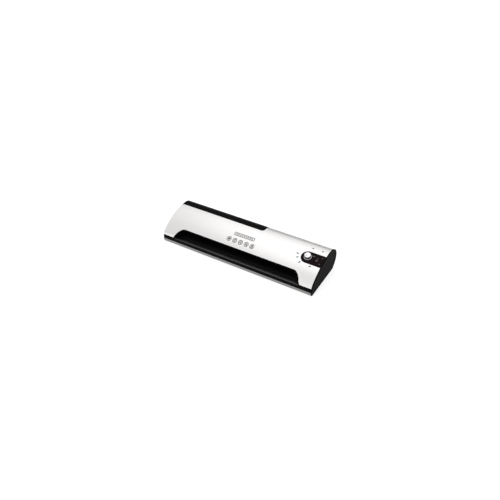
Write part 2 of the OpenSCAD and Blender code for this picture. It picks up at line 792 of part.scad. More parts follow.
lens_collar = 1.8;       // how far a lens reaches below the cover
module light(x, tint) color(tint) place() on_skin(x, light_y) {
    translate([0, 0, -wall - 1]) cylinder(d = lens_d, h = wall + 1.2);
    translate([0, 0, -wall - lens_collar]) cylinder(d = lens_d + 1.6, h = 1.2);
}
module power_light() light(knob_x, "darkred");
module ready_light() light(knob_x + light_gap, "darkgreen");

power_x0 = plate_r + 6;
power_z = wall + 4;
module power_board() color("peru") place() {
    difference() {
        box([power_x0, 46, power_z], [body_x1 - 8, 104, power_z + board_t]);
        around_bosses();
    }
    for (x = [power_x0 + 3, body_x1 - 11], y = [49, 101])
        translate([x, y, wall]) cylinder(r = 2, h = power_z - wall + 0.1);
}

module power_parts() color("royalblue") place() {
    top = power_z + board_t;
    box([power_x0 + 4, 56, top], [power_x0 + 20, 72, top + 13]);
    translate([power_x0 + 32, 62, top]) cylinder(r = 5, h = 14);
    box([power_x0 + 6, 88, top], [power_x0 + 26, 98, top + 9]);
}

// ---------- mains inlet ----------

inlet_x = half_l - 34;
inlet_z = path_z;
inlet_w = 20;
inlet_h = 12;
inlet_deep = 16;
pin_gap = 8.6;
module inlet_body(w, h) {
    for (x = [-1, 1]) translate([x * (w - h) / 2, 0]) circle(h / 2);
    square([w - h, h], center = true);
}
module mains_inlet() color([0.09, 0.09, 0.09]) place() difference() {
    y1 = body_d - 0.8;
    union() {
        box([inlet_x - inlet_w / 2 + 0.2, y1 - inlet_deep, inlet_z - inlet_h / 2 + 0.2],
            [inlet_x + inlet_w / 2 - 0.2, y1, inlet_z + inlet_h / 2 - 0.2]);
        box([inlet_x - inlet_w / 2 - 2, y1 - wall - 3.5, inlet_z - inlet_h / 2 - 2],
            [inlet_x + inlet_w / 2 + 2, y1 - wall - 1.6, inlet_z + inlet_h / 2 + 2]);
    }
    translate([inlet_x, 0, inlet_z]) along_y(y1 - inlet_deep + 3, y1 + 1) inlet_body(16.4, 8.6);
    for (x = [-1, 1]) translate([inlet_x + x * pin_gap / 2, 0, inlet_z])
        along_y(y1 - inlet_deep - 1, y1) circle(1.2);
}
module inlet_pins() color("silver") place()
    for (x = [-1, 1]) translate([inlet_x + x * pin_gap / 2, 0, inlet_z])
        along_y(body_d - 0.8 - inlet_deep - 5, body_d - 0.8 - 4) circle(1.2);

// ---------- wiring ----------

// A lead along a route of straight stretches with rounded joints
module lead(route, r) {
    for (i = [0 : len(route) - 2]) {
        d = route[i + 1] - route[i];
        translate(route[i])
            rotate([0, acos(d.z / norm(d)), atan2(d.y, d.x)]) cylinder(r = r, h = norm(d));
    }
    for (i = [1 : len(route) - 2]) translate(route[i]) sphere(r = r + 0.2);
}

lead_r = 0.9;
module mains_leads() color("saddlebrown") place()
    for (s = [-1, 1]) {
        x = inlet_x + s * pin_gap / 2;
        lead([[x, body_d - inlet_deep - 5.8, inlet_z], [x, 108, inlet_z],
              [x, 108, 22], [x, 100, 16], [x, 100, power_z + board_t]], lead_r);
    }

// A pair of leads from the power board, along the front of the base, to the motor
module motor_leads() color("darkslateblue") place()
    for (s = [0, 1]) {
        x0 = power_x0 + 3 + 3 * s;
        x1 = bracket_x - 5 - 2.4 * s;
        y = slot_y + 4 - 2.4 * s;
        z = band_h + 1;
        top = power_z + board_t;
        lift = motor_z - 12;
        reach = sqrt(motor_d ^ 2 / 4 - (12 - lead_r) ^ 2) + 0.1;
        lead([[x0, 48, top], [x0, 48, top + 6], [x0, y, top + 6], [x0, y, z], [x1, y, z],
              [x1, y, lift], [x1, motor_y - reach, lift]], lead_r);
    }

top_cover();
base();
feed_table();
feed_visor();
rear_panel();
end_cap_left();
end_cap_right();
control_panel();
feet();
cover_screws();
chassis_screws();
side_plate_left();
side_plate_right();
tie_rods();
lower_bushes();
upper_bearings();
pressure_springs();
guide_plate_lower();
guide_plate_upper();
hot_shaft_lower();
hot_sleeve_lower();
hot_gear_lower();
hot_shaft_upper();
hot_sleeve_upper();
hot_gear_upper();
exit_shaft_lower();
exit_sleeve_lower();
exit_gear_lower();
exit_shaft_upper();
exit_sleeve_upper();
exit_gear_upper();
idler_gear();
idler_pin();
motor_pinion();
motor_shaft();
motor_gearbox();
motor_can();
motor_bracket();
bracket_posts();
heater_shoe_lower();
heater_shoe_upper();
heating_element_lower();
heating_element_upper();
heat_shield();
thermostat();
thermal_fuse();
selector_knob();
knob_cap();
switch_spindle();
selector_switch();
control_board();
indicator_leds();
power_light();
ready_light();
power_board();
power_parts();
mains_inlet();
inlet_pins();
mains_leads();
motor_leads();
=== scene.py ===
import json
import math
import bmesh
import bpy
from mathutils import Matrix, Vector


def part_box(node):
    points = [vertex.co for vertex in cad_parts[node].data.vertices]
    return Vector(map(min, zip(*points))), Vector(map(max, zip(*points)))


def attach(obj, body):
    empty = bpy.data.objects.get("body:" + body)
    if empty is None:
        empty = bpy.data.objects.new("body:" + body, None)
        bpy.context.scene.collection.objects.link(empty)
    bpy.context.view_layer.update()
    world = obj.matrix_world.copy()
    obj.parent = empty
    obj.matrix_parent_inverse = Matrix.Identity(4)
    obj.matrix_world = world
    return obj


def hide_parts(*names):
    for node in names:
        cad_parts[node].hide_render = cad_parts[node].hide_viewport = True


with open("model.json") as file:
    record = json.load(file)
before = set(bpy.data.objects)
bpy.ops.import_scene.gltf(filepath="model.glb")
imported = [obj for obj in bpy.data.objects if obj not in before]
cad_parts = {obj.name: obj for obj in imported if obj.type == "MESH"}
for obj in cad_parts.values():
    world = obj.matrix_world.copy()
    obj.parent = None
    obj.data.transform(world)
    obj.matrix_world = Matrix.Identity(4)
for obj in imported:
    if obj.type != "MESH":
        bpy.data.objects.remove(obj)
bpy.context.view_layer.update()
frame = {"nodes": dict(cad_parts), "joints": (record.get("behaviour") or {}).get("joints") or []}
scene = bpy.context.scene
mm = 0.001

# ---------------------------------------------------------------- camera and studio
# A viewer stands to the right of the machine and looks down over its front edge. The
# floor is a pale sheet, and two broad soft lamps and a pale room light it.
look_at = Vector((19, -17, 27)) * mm
azimuth = math.radians(30.8)
elevation = math.radians(37.4)
camera_reach = 1.36
away = Vector((math.sin(azimuth) * math.cos(elevation), -math.cos(azimuth) * math.cos(elevation),
               math.sin(elevation)))
eye = bpy.data.objects.new("eye", bpy.data.cameras.new("eye"))
eye.data.sensor_width = 36
eye.data.lens = 38.35
eye.location = look_at + away * camera_reach
eye.rotation_euler = away.to_track_quat("Z", "Y").to_euler()
scene.collection.objects.link(eye)
scene.camera = eye
scene.view_settings.view_transform = "Standard"


def lamp(name, place, size, power):
    """A square soft lamp that faces the machine."""
    light = bpy.data.lights.new(name, "AREA")
    light.size = size
    light.energy = power
    holder = bpy.data.objects.new(name, light)
    holder.location = place
    holder.rotation_euler = Vector(place).to_track_quat("Z", "Y").to_euler()
    scene.collection.objects.link(holder)


lamp("back_lamp", (-0.1, 0.6, 1.9), 2.2, 8)
lamp("front_lamp", (-0.6, -1.5, 1.2), 1.0, 1.5)

room = bpy.data.worlds.new("room")
room.use_nodes = True
scene.world = room
sky = room.node_tree
towards = sky.nodes.new("ShaderNodeTexCoord")
parts = sky.nodes.new("ShaderNodeSeparateXYZ")
fade = sky.nodes.new("ShaderNodeMapRange")
fade.inputs["From Min"].default_value = 0.1
fade.inputs["From Max"].default_value = 0.7
fade.inputs["To Min"].default_value = 0.12
fade.inputs["To Max"].default_value = 0.85
sky.links.new(towards.outputs["Generated"], parts.inputs[0])
sky.links.new(parts.outputs["Z"], fade.inputs["Value"])
sky.links.new(fade.outputs["Result"], sky.nodes["Background"].inputs["Color"])
sky.nodes["Background"].inputs["Strength"].default_value = 1


def surface(name, light, dark, grain, rough, bump=0.0, metal=0.0, coat=0.0, shine=0.5,
            stretch=(1, 1, 1), patch=0.25):
    """A finish whose tone, gloss and relief wander over a grain of this size in metres."""
    material = bpy.data.materials.new(name)
    material.use_nodes = True
    tree = material.node_tree
    shader = tree.nodes["Principled BSDF"]
    shader.inputs["Metallic"].default_value = metal
    shader.inputs["Coat Weight"].default_value = coat
    shader.inputs["Coat Roughness"].default_value = 0.12
    shader.inputs["Specular IOR Level"].default_value = shine
    place = tree.nodes.new("ShaderNodeTexCoord")
    scale = tree.nodes.new("ShaderNodeMapping")
    scale.inputs["Scale"].default_value = stretch
    tree.links.new(place.outputs["Object"], scale.inputs["Vector"])
    fine = tree.nodes.new("ShaderNodeTexNoise")
    fine.inputs["Scale"].default_value = 1 / grain
    fine.inputs["Detail"].default_value = 5
    broad = tree.nodes.new("ShaderNodeTexNoise")
    broad.inputs["Scale"].default_value = 28
    broad.inputs["Detail"].default_value = 3
    for texture in (fine, broad):
        tree.links.new(scale.outputs["Vector"], texture.inputs["Vector"])
    both = tree.nodes.new("ShaderNodeMix")
    both.inputs["Factor"].default_value = patch
    tree.links.new(fine.outputs["Fac"], both.inputs["A"])
    tree.links.new(broad.outputs["Fac"], both.inputs["B"])
    tone = tree.nodes.new("ShaderNodeValToRGB")
    tone.color_ramp.elements[0].position = 0.3
    tone.color_ramp.elements[0].color = (*dark, 1)
    tone.color_ramp.elements[1].position = 0.7
    tone.color_ramp.elements[1].color = (*light, 1)
    tree.links.new(both.outputs["Result"], tone.inputs["Fac"])
    tree.links.new(tone.outputs["Color"], shader.inputs["Base Color"])
    gloss = tree.nodes.new("ShaderNodeMapRange")
    gloss.inputs["From Min"].default_value = 0.3
    gloss.inputs["From Max"].default_value = 0.7
    gloss.inputs["To Min"].default_value = rough[0]
    gloss.inputs["To Max"].default_value = rough[1]
    tree.links.new(both.outputs["Result"], gloss.inputs["Value"])
    tree.links.new(gloss.outputs["Result"], shader.inputs["Roughness"])
    if bump:
        relief = tree.nodes.new("ShaderNodeBump")
        relief.inputs["Strength"].default_value = bump
        relief.inputs["Distance"].default_value = grain * 0.3
        tree.links.new(fine.outputs["Fac"], relief.inputs["Height"])
        tree.links.new(relief.outputs["Normal"], shader.inputs["Normal"])
    return material


ground = bmesh.new()
bmesh.ops.create_grid(ground, x_segments=8, y_segments=8, size=40)
sheet = bpy.data.meshes.new("ground")
ground.to_mesh(sheet)
ground.free()
ground = bpy.data.objects.new("ground", sheet)
pale = surface("pale_sheet", (0.62, 0.62, 0.62), (0.6, 0.6, 0.6), 0.2, (0.8, 0.9), shine=0)
pale.node_tree.nodes["Principled BSDF"].inputs["Emission Color"].default_value = (1, 1, 1, 1)
pale.node_tree.nodes["Principled BSDF"].inputs["Emission Strength"].default_value = 0.65
ground.data.materials.append(pale)
scene.collection.objects.link(ground)

# ---------------------------------------------------------------- top cover
# The silver shell: one thin moulding painted with fine metallic flake. It hooks over
# the front table and is screwed down from below through four bosses.
outline_low, outline_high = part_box("end_cap_right")
cover_low, cover_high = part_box("top_cover")
front, back = outline_low.y, outline_high.y
under, crest = outline_low.z, outline_high.z
left_end, body_end = cover_low.x, cover_high.x
wall = 2.2 * mm
seam = 0.3 * mm
bulge_r = 34 * mm
crest_y = back - bulge_r
bulge = Vector((0, crest_y, crest - bulge_r))
chin = Vector((0, front + 1.3 * mm, under + 19 * mm))
brow = Vector((0, front + 3 * mm, under + 25 * mm))
slope_r = ((crest_y - brow.y) ** 2 + (crest - brow.z) ** 2) / (2 * (crest - brow.z))
slope = Vector((0, crest_y, crest - slope_r))


def skin_z(y, inset=0.0):
    """Height of the outer skin, or of a layer inset below it, at a depth y."""
    if y < crest_y:
        return slope.z + math.sqrt((slope_r - inset) ** 2 - (crest_y - y) ** 2)
    return bulge.z + math.sqrt((bulge_r - inset) ** 2 - (y - crest_y) ** 2)


def drawn(bm, x0, x1):
    """Draws the edges or faces in the bmesh out along the length, from x0 to x1."""
    bmesh.ops.translate(bm, vec=(x0, 0, 0), verts=bm.verts)
    if bm.faces:
        made = bmesh.ops.extrude_face_region(bm, geom=bm.faces[:], use_keep_orig=True)
    else:
        made = bmesh.ops.extrude_edge_only(bm, edges=bm.edges[:])
    moved = [v for v in made["geom"] if isinstance(v, bmesh.types.BMVert)]
    bmesh.ops.translate(bm, vec=(x1 - x0, 0, 0), verts=moved)
    return bm


def swing(bm, start, centre, turn, steps):
    """Sweeps a vertex round a centre in the side view and gives back its last copy."""
    made = bmesh.ops.spin(bm, geom=[start], cent=centre, axis=(1, 0, 0), angle=turn, steps=steps)
    return next(v for v in made["geom_last"] if isinstance(v, bmesh.types.BMVert))


def skin_line(bm, inset, y_from, z_to):
    """The skin's side line, from a depth on the front slope over the crest down to z_to."""
    a = math.asin((crest_y - y_from) / (slope_r - inset)) if y_from < crest_y else 0
    first = bm.verts.new((0, max(min(y_from, crest_y), front), skin_z(y_from, inset)))
    top = swing(bm, first, slope, -a, max(2, int(math.degrees(a)))) if a else first
    fall = math.pi / 2 - math.asin((z_to - bulge.z) / (bulge_r - inset))
    last = swing(bm, top, bulge, -fall, max(4, int(math.degrees(fall) / 2)))
    return first, last


def side_solid(inset, x0, x1):
    """A closed solid of the housing's side outline, or of one inset inside it."""
    bm = bmesh.new()
    z0 = under + inset
    low = bm.verts.new((0, front + inset, z0))
    mid = bm.verts.new((0, chin.y + inset, chin.z))
    y_start = max(brow.y, crest_y - math.sqrt((slope_r - inset) ** 2 - (brow.z - slope.z) ** 2))
    first, last = skin_line(bm, inset, y_start, z0)
    bm.edges.new((low, mid))
    bm.edges.new((mid, first))
    bm.edges.new((last, low))
    bmesh.ops.contextual_create(bm, geom=bm.edges[:])
    return drawn(bm, x0, x1)


def prism(corners, push, radii=(), steps=10):
    """A flat outline of a few corners, each rounded to its radius, pushed out to a solid."""
    bm = bmesh.new()
    points = [Vector(c) for c in corners]
    verts = [bm.verts.new(p) for p in points]
    bm.faces.new(verts)
    for i, r in enumerate(radii):
        if r:
            u = points[i - 1] - points[i]
            v = points[(i + 1) % len(points)] - points[i]
            bmesh.ops.bevel(bm, geom=[verts[i]], offset=r / math.tan(u.angle(v) / 2), segments=steps,
                            profile=0.5, affect="VERTICES", offset_type="OFFSET", material=-1)
    made = bmesh.ops.extrude_face_region(bm, geom=bm.faces[:], use_keep_orig=True)
    moved = [v for v in made["geom"] if isinstance(v, bmesh.types.BMVert)]
    bmesh.ops.translate(bm, vec=push, verts=moved)
    return bm


def rod(start, end, r, sides=40):
    """A solid round bar between two points."""
    bm = bmesh.new()
    start, end = Vector(start), Vector(end)
    along = (end - start).to_track_quat("Z", "Y").to_matrix().to_4x4()
    bmesh.ops.create_cone(bm, cap_ends=True, segments=sides, radius1=r, radius2=r,
                          depth=(end - start).length, matrix=Matrix.Translation((start + end) / 2) @ along)
    return bm


def gathered(shapes):
    """Several separate solids as one bmesh."""
    whole = bmesh.new()
    for shape in shapes:
        mesh = bpy.data.meshes.new("work")
        bmesh.ops.recalc_face_normals(shape, faces=shape.faces)
        shape.to_mesh(mesh)
        shape.free()
        whole.from_mesh(mesh)
        bpy.data.meshes.remove(mesh)
    return whole


def combined(target, tool, how="DIFFERENCE"):
    """Cuts a closed shape with another, joins the two, or keeps what they share."""
    pair = []
    for shape in (target, tool):
        mesh = bpy.data.meshes.new("work")
        bmesh.ops.recalc_face_normals(shape, faces=shape.faces)
        shape.to_mesh(mesh)
        shape.free()
        pair.append(bpy.data.objects.new("work", mesh))
        scene.collection.objects.link(pair[-1])
    step = pair[0].modifiers.new("step", "BOOLEAN")
    step.operation = how
    step.solver = "EXACT"
    step.object = pair[1]
    result = bmesh.new()
    result.from_object(pair[0], bpy.context.evaluated_depsgraph_get())
    for o in pair:
        mesh = o.data
        bpy.data.objects.remove(o)
        bpy.data.meshes.remove(mesh)
    bmesh.ops.remove_doubles(result, verts=result.verts, dist=0.001 * mm)
    return result


def walled(bm, thickness):
    """Gives an open sheet a wall on its inner side, which faces the bulge's centre."""
    bmesh.ops.recalc_face_normals(bm, faces=bm.faces)
    face = bm.faces[:][0]
    if face.normal.dot(face.calc_center_median() - bulge) < 0:
        bmesh.ops.reverse_faces(bm, faces=bm.faces)
    bmesh.ops.solidify(bm, geom=bm.faces[:], thickness=thickness)
    return bm


def shown(name, bm, materials, stands_for, body="housing", ease=0.3 * mm, rows=2, crisp=30):
    """Eases the sharp edges, smooths the shading and hands the piece to its CAD body."""
    bmesh.ops.remove_doubles(bm, verts=bm.verts, dist=0.005 * mm)
    bmesh.ops.recalc_face_normals(bm, faces=bm.faces)
    if ease:
        bmesh.ops.dissolve_degenerate(bm, edges=bm.edges, dist=0.02 * mm)
        sharp = [e for e in bm.edges if e.is_manifold and e.calc_face_angle() > math.radians(crisp)]
        bmesh.ops.bevel(bm, geom=sharp, offset=ease, offset_type="OFFSET", segments=rows, profile=0.5,
                        affect="EDGES", clamp_overlap=True, material=-1)
    mesh = bpy.data.meshes.new(name)
    bm.to_mesh(mesh)
    bm.free()
    mesh.shade_smooth()
    mesh.set_sharp_from_angle(angle=math.radians(50))
    for material in materials if isinstance(materials, list) else [materials]:
        mesh.materials.append(material)
    piece = bpy.data.objects.new(name, mesh)
    scene.collection.objects.link(piece)
    even = piece.modifiers.new("even", "WEIGHTED_NORMAL")
    even.keep_sharp = True
    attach(piece, body)
    if stands_for:
        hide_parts(stands_for)
    return piece


# The recess that the pouch is fed into, as seen from the front
recess_top = under + 40.5 * mm
recess_left = left_end + 32 * mm
recess_right = outline_high.x - 35 * mm
recess_r = 24 * mm
recess_slant = 0.57


def recess_prism(inset, y0, y1, extra=0.0):
    """The recess's front outline, shrunk by an inset, pushed back from y0 to y1."""
    left, right, top = recess_left + inset, recess_right - inset, recess_top - inset
    shift = recess_slant * (top - chin.z)
    low = chin.z - 6 * mm - extra
    return prism([(left, y0, low), (left, y0, chin.z), (left + shift, y0, top),
                  (right - shift, y0, top), (right, y0, chin.z), (right, y0, low)],
                 (0, y1 - y0, 0), (0, 0, recess_r - inset, recess_r - inset, 0, 0), 14)


# The dark panel on the right, in plan
knob_axis = next(j for j in frame["joints"] if j["name"] == "selector_turn")
knob_foot = Vector(knob_axis["pos_m"])
knob_up = Vector(knob_axis["axis"])
panel_w = 34 * mm
cutter_low, cutter_tall = under + 30 * mm, 60 * mm


def panel_prism(inset):
    """The control panel's plan outline, shrunk by an inset, standing through the skin."""
    r = panel_w / 2 - inset
    x0, x1 = knob_foot.x - r, body_end - inset
    y0, y1 = knob_foot.y - r, knob_foot.y + r
    corners = [(x0, y0, cutter_low), (x1, y0, cutter_low), (x1, y1, cutter_low), (x0, y1, cutter_low)]
    return prism(corners, (0, 0, cutter_tall), (r * 0.995, 0, 0, r * 0.995), 16)


# The black strip that climbs over the crest on the left
strip_front = front + 92 * mm
strip_end = outline_high.x - 185 * mm
strip_r = 8 * mm
rear_top = under + 42 * mm


def strip_prism(gap):
    """The strip's plan outline, shrunk by a gap, standing through the skin."""
    z0 = under - 5 * mm
    x0, x1, y0, y1 = left_end - 1 * mm, strip_end - gap, strip_front + gap, back + 5 * mm
    return prism([(x0, y0, z0), (x1, y0, z0), (x1 + 2 * mm, y1, z0), (x0, y1, z0)],
                 (0, 0, 90 * mm), (0, strip_r - gap, 0, 0), 10)


light_y = front + 91.5 * mm
light_gap = 26 * mm
lens_r = 2 * mm
lens_fit = 0.05 * mm
light_spots = [Vector((knob_foot.x + dx, light_y, skin_z(light_y))) for dx in (0, light_gap)]
light_lean = math.asin((crest_y - light_y) / slope_r)
light_up = Vector((0, -math.sin(light_lean), math.cos(light_lean)))

cover = bmesh.new()
chin_vert = cover.verts.new(chin)
first = skin_line(cover, 0, brow.y, rear_top)[0]
cover.edges.new((chin_vert, first))
cover = walled(drawn(cover, left_end, body_end), wall)
recess_back = front + 48 * mm
cover = combined(cover, recess_prism(0, front - 5 * mm, recess_back))
cover = combined(cover, panel_prism(0))
cover = combined(cover, strip_prism(0))
holes = [rod(p - light_up * 6 * mm, p + light_up * 4 * mm, lens_r + lens_fit) for p in light_spots]
cover = combined(cover, gathered(holes))
boss_spots = [(left_end + 16 * mm, front + 24 * mm), (outline_high.x - 20 * mm, front + 24 * mm),
              (outline_high.x - 13.5 * mm, knob_foot.y + panel_w / 2 + 5.5 * mm),
              (left_end + 16 * mm, recess_back)]
boss_r = 4 * mm
pilot_r = 1.3 * mm
pilot_top = under + 16.2 * mm
bosses = [rod((x, y, under + wall + seam), (x, y, crest), boss_r) for x, y in boss_spots]
bosses = combined(gathered(bosses), side_solid(wall / 2, left_end, body_end), "INTERSECT")
pilots = [rod((x, y, under), (x, y, pilot_top), pilot_r) for x, y in boss_spots]
cover = combined(combined(cover, bosses, "UNION"), gathered(pilots))
silver = surface("silver_flake", (0.9, 0.885, 0.88), (0.8, 0.79, 0.785), 0.35 * mm, (0.28, 0.4), 0.05,
                 metal=0.9, coat=0.1, patch=0.2)
shown("top_cover_shell", cover, silver, "top_cover")

# ---------------------------------------------------------------- base
# The grey tray that everything stands on: a moulded floor with a low wall at the front
# and back, ribs, screw wells, recesses for the feet and two rows of cooling slots.


def block(low, high):
    """A solid box between two corners."""
    bm = bmesh.new()
    low, high = Vector(low), Vector(high)
    grow = Matrix.Diagonal((*(high - low), 1))
    bmesh.ops.create_cube(bm, size=1, matrix=Matrix.Translation((low + high) / 2) @ grow)
    return bm


band_top = under + 7 * mm
base_bottom = back - bulge_r + math.sqrt(bulge_r ** 2 - (bulge.z - under) ** 2)
tray = bmesh.new()
lip = tray.verts.new((0, front + 0.48 * mm, band_top))
toe = tray.verts.new((0, front, under))
heel = tray.verts.new((0, base_bottom, under))
lift = math.asin((bulge.z - under) / bulge_r) - math.asin((bulge.z - band_top) / bulge_r)
swing(tray, heel, bulge, lift, 6)
tray.edges.new((lip, toe))
tray.edges.new((toe, heel))
tray = walled(drawn(tray, left_end, body_end), wall)
plate_left, plate_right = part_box("side_plate_left")[0].x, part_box("side_plate_right")[1].x
rib_half, rib_depth, rib_inset = 0.8 * mm, 42 * mm, 22 * mm
ribs = [block((x - rib_half, front + mm, under + 2 * mm), (x + rib_half, front + rib_depth, band_top - mm))
        for x in (plate_left + rib_inset, 0, plate_right - rib_inset)]
tray = combined(tray, gathered(ribs), "UNION")
screw_low, screw_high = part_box("chassis_screws")
head_r, head_fit = 2.8 * mm, 0.3 * mm
screw_hole_r = 1.7 * mm
chassis_spots = [(x, y) for x in (screw_low.x + head_r, screw_high.x - head_r)
                 for y in (screw_low.y + head_r, screw_high.y - head_r)]
rear_spots = [(left_end + 12 * mm, back - 24 * mm), (outline_high.x - 14 * mm, back - 24 * mm)]
screw_spots = boss_spots + rear_spots + chassis_spots
wells = [rod((x, y, under - mm), (x, y, under + mm), head_r + head_fit) for x, y in screw_spots]
through = [rod((x, y, under), (x, y, under + 9 * mm), screw_hole_r, 24) for x, y in screw_spots]
feet_low, feet_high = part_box("feet")
foot_r, cup_r = 7 * mm, 5.1 * mm
foot_spots = [(x, y) for x in (feet_low.x + foot_r, feet_high.x - foot_r)
              for y in (feet_low.y + foot_r, feet_high.y - foot_r)]
cups = [rod((x, y, under - mm), (x, y, under + mm), cup_r) for x, y in foot_spots]
idler_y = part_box("idler_pin")[0].y + 4 * mm
vent_w, vent_depth, vent_pitch, vent_margin = 3 * mm, 22 * mm, 12 * mm, 40 * mm
vent_count = int((plate_right - plate_left - 2 * vent_margin) / vent_pitch) + 1
vents = [block((x, y, under - mm), (x + vent_w, y + vent_depth, under + 3.5 * mm))
         for x in (plate_left + vent_margin + vent_pitch * i for i in range(vent_count))
         for y in (idler_y - 30 * mm, idler_y + 6 * mm)]
for cutters in (wells + cups, through, vents):
    tray = combined(tray, gathered(cutters))
grey = surface("moulded_grey", (0.34, 0.33, 0.327), (0.28, 0.272, 0.27), 0.5 * mm, (0.42, 0.55), 0.12)
shown("base_tray", tray, grey, "base", ease=0.5 * mm)

# ---------------------------------------------------------------- feed table
# The glossy black front moulding: a low band along the whole front whose middle turns
# over a rounded lip and slopes up to the feed slot, where the pouch slides in.
path_z = under + 30 * mm
slot_half = 2.5 * mm
slot_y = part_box("feed_visor")[1].y - wall
lip_z = chin.z - 2 * mm
lean = (chin.y - front) / (chin.z - under)


def chin_y(z):
    """Depth of the front face at a height z."""
    return front + lean * (z - under)


band_low, band_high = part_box("feed_table")[0].z, chin.z - seam
band = prism([(left_end, chin_y(band_low), band_low), (left_end, chin_y(band_high), band_high),
              (left_end, chin_y(band_high) + wall, band_high),
              (left_end, chin_y(band_low) + wall, band_low)],
             (body_end - left_end, 0, 0))
mouth_left, mouth_right = recess_left - 2 * mm, recess_right + 2 * mm
mouth = prism([(mouth_left, front - mm, lip_z - mm), (mouth_right, front - mm, lip_z - mm),
               (mouth_right, front - mm, chin.z + mm), (mouth_left, front - mm, chin.z + mm)],
              (0, wall + 6 * mm, 0))
lip_y = chin_y(lip_z) - 0.3 * mm
lip_back = front + 9 * mm
ramp = prism([(left_end, lip_y, lip_z - 3 * mm),
              (left_end, lip_y, lip_z),
              (left_end, lip_back, lip_z + 0.2 * mm),
              (left_end, slot_y - seam, path_z - slot_half),
              (left_end, slot_y - seam, path_z - slot_half - wall),
              (left_end, lip_back, lip_z - wall),
              (left_end, front + wall + mm, lip_z - 3 * mm)],
             (body_end - left_end, 0, 0), (0, 1.4 * mm, 20 * mm, 0, 0, 18 * mm, 0), 10)
ramp = combined(ramp, recess_prism(2.9 * mm, front - mm, slot_y), "INTERSECT")
table = combined(combined(band, mouth), ramp, "UNION")
black = surface("black_gloss", (0.004, 0.0035, 0.0035), (0.002, 0.0016, 0.0016), 0.8 * mm, (0.2, 0.3), 0.04,
                shine=0.03, patch=0.5)
# A second finish for the lip: a little lighter than the black and much shinier. The shine is the lip's
# gloss; the lighter tone is a painted highlight along the lip's top.
lip_gloss_and_painted_highlight = surface("lip_shine_painted_highlight", (0.012, 0.0115, 0.0115), (0.006, 0.0055, 0.0055), 0.8 * mm,
                   (0.2, 0.3), 0.04, shine=1.0, patch=0.5)
table_piece = shown("feed_table_moulding", table, [black, lip_gloss_and_painted_highlight], "feed_table",
                    rows=3, crisp=35)
# Up-facing faces near the front of the lip take the second finish, whose lighter tone paints the highlight
# along the lip.
for face in table_piece.data.polygons:
    if face.normal.z > 0.6 and face.center.y < lip_back - 2 * mm and face.center.z < lip_z + mm:
        face.material_index = 1

# ---------------------------------------------------------------- feed visor
# The black frame round the recess: a rim set just under the silver skin, walls that
# run back to the feed slot, and a slanted roof that steers the pouch into the rollers.
rim = 2.6 * mm
visor = combined(side_solid(0.8 * mm, left_end, body_end),
                 recess_prism(seam, front - mm, slot_y + wall), "INTERSECT")
visor = combined(visor, recess_prism(rim, front - 2 * mm, slot_y, extra=10 * mm))
bite = 0.2 * mm
roof_z = recess_top - rim + bite
roof = prism([(left_end, slot_y - 12 * mm, roof_z), (left_end, slot_y + bite, roof_z),
              (left_end, slot_y + bite, path_z + slot_half),
              (left_end, slot_y - 1.5 * mm, path_z + slot_half)], (body_end - left_end, 0, 0))
roof = combined(roof, recess_prism(rim - bite, front - mm, slot_y + mm), "INTERSECT")
visor = combined(visor, roof, "UNION")
visor = combined(visor, block((left_end - mm, front - 2 * mm, under - mm),
                              (body_end + mm, slot_y + 4 * mm, chin.z + seam)))
sleeve_low, sleeve_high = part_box("hot_sleeve_lower")
slot_left, slot_right = sleeve_low.x - 4 * mm, sleeve_high.x + 4 * mm
visor = combined(visor, block((slot_left, front - 2 * mm, path_z - slot_half),
                              (slot_right, slot_y + 4 * mm, path_z + slot_half)))
shown("feed_visor_frame", visor, black, "feed_visor")

# ---------------------------------------------------------------- rear panel
# The black textured moulding that closes the back and climbs over the crest as a strip.
# It holds the exit slot, a row of louvres over the hot rollers and the mains inlet.
panel = bmesh.new()
skin_line(panel, seam, strip_front - 2 * mm, band_top + seam)
panel = walled(drawn(panel, left_end, body_end), wall)
below = block((left_end - mm, crest_y, under), (body_end + mm, back + mm, rear_top - seam))
keep = combined(strip_prism(seam), below, "UNION")
panel = combined(panel, keep, "INTERSECT")
exit_slot = block((slot_left, crest_y, path_z - slot_half), (slot_right, back + mm, path_z + slot_half))
louvre_w, louvre_pitch, louvre_start = 3 * mm, 9 * mm, left_end + 40 * mm
louvre_count = int((strip_end - louvre_start - 20 * mm) / louvre_pitch) + 1
louvres = [block((x, crest_y + 4 * mm, rear_top + 4 * mm), (x + louvre_w, back + mm, rear_top + 16 * mm))
           for x in (louvre_start + louvre_pitch * i for i in range(louvre_count))]
inlet_low, inlet_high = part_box("mains_inlet")
inlet_x = (inlet_low.x + inlet_high.x) / 2
inlet_half_w, inlet_half_h = 10 * mm, 6 * mm
window = block((inlet_x - inlet_half_w, crest_y, path_z - inlet_half_h),
               (inlet_x + inlet_half_w, back + mm, path_z + inlet_half_h))
for cutters in ([exit_slot], louvres, [window]):
    panel = combined(panel, gathered(cutters))
chute_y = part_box("exit_sleeve_lower")[1].y + 3 * mm
chute_t = 1.6 * mm
inside_skin = 1.2 * mm
chutes = [block((slot_left - mm, chute_y, z), (slot_right + mm, back, z + chute_t))
          for z in (path_z - slot_half - chute_t, path_z + slot_half)]
chutes = combined(gathered(chutes), side_solid(inside_skin, left_end, body_end), "INTERSECT")
panel = combined(panel, chutes, "UNION")
post_foot = under + wall + seam
posts = [rod((x, y, post_foot), (x, y, post_foot + 16 * mm), boss_r) for x, y in rear_spots]
webs = [block((x - mm, y, under + 8 * mm), (x + mm, back - 2 * mm, under + 18 * mm)) for x, y in rear_spots]
posts = combined(gathered(posts), gathered(webs), "UNION")
posts = combined(posts, side_solid(inside_skin, left_end, body_end), "INTERSECT")
pilots = [rod((x, y, under), (x, y, pilot_top), pilot_r) for x, y in rear_spots]
panel = combined(combined(panel, posts, "UNION"), gathered(pilots))
grained = surface("black_grain", (0.005, 0.0047, 0.0047), (0.0026, 0.0024, 0.0024), 0.6 * mm,
                  (0.4, 0.55), 0.4, shine=0.03, patch=0.1)
shown("rear_moulding", panel, grained, "rear_panel")

